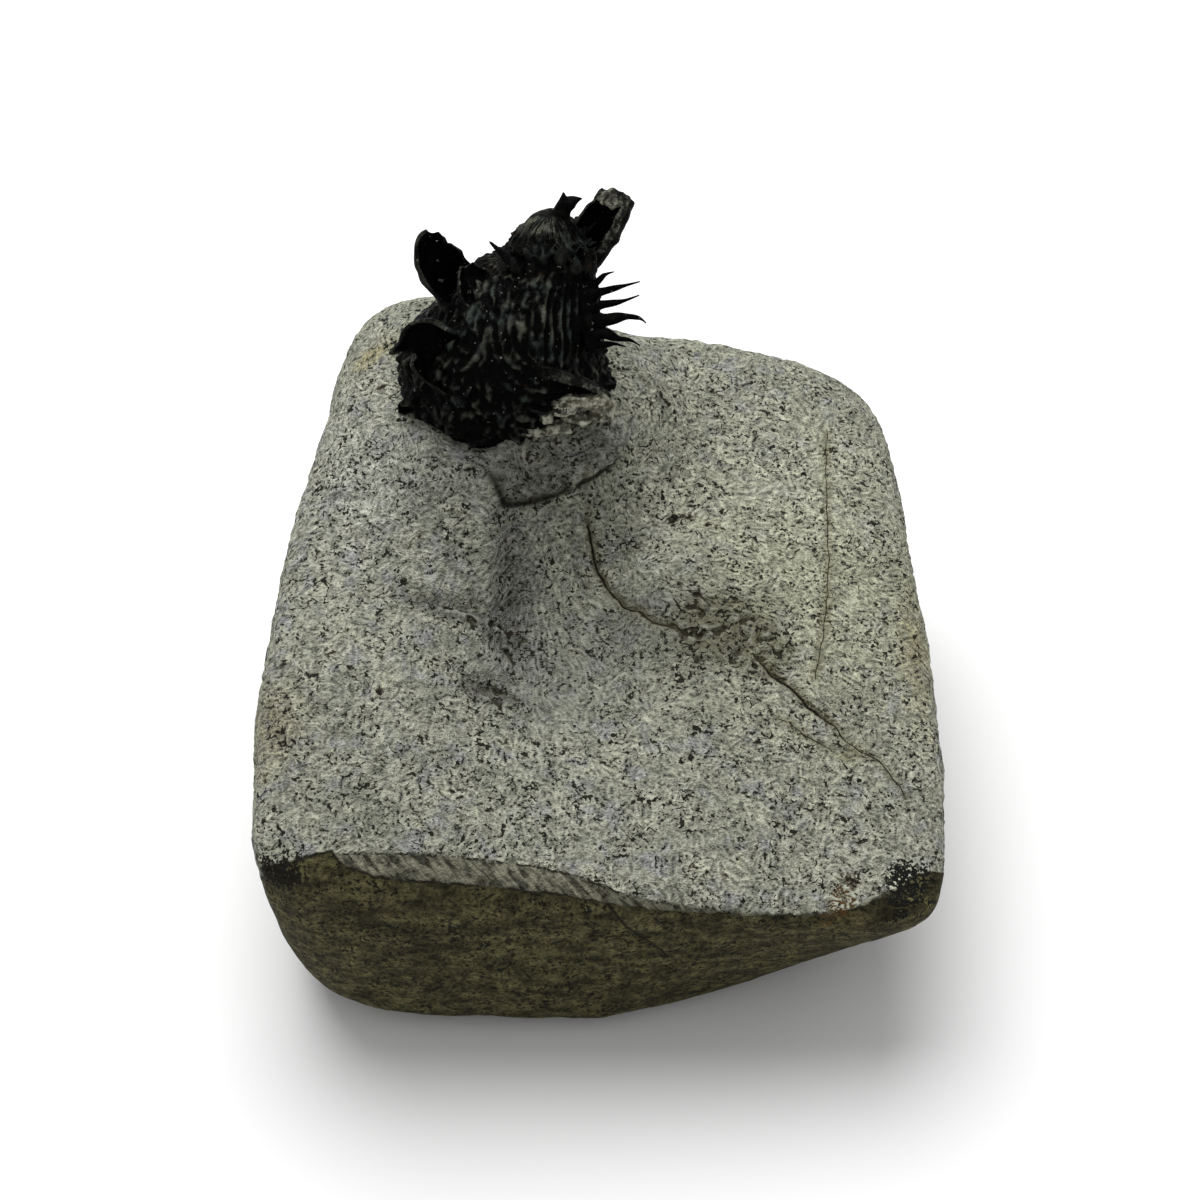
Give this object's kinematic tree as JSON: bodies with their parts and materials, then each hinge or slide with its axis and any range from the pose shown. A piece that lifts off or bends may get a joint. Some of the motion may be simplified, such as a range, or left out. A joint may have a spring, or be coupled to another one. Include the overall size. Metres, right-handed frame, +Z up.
{
  "type": "spiny fossil shell on rock matrix",
  "caption": "Black, domed and ribbed fossil sea-snail shell with broken hollow spines, standing free on a carved hill of its pale limestone block.",
  "frame": {"origin": "centre of the object's footprint, on the surface that it rests on", "axes": "+Z up, -Y towards the front, where the carved slope faces, +X to the front's right-hand side"},
  "size_m": [0.0946, 0.0981, 0.0882],
  "materials": {
    "limestone": "rough, with fine tool marks",
    "black_shell": "satin"
  },
  "bodies": {
    "root": {"limestone_matrix": "limestone", "fossil_shell": "black_shell"}
  },
  "joints": []
}
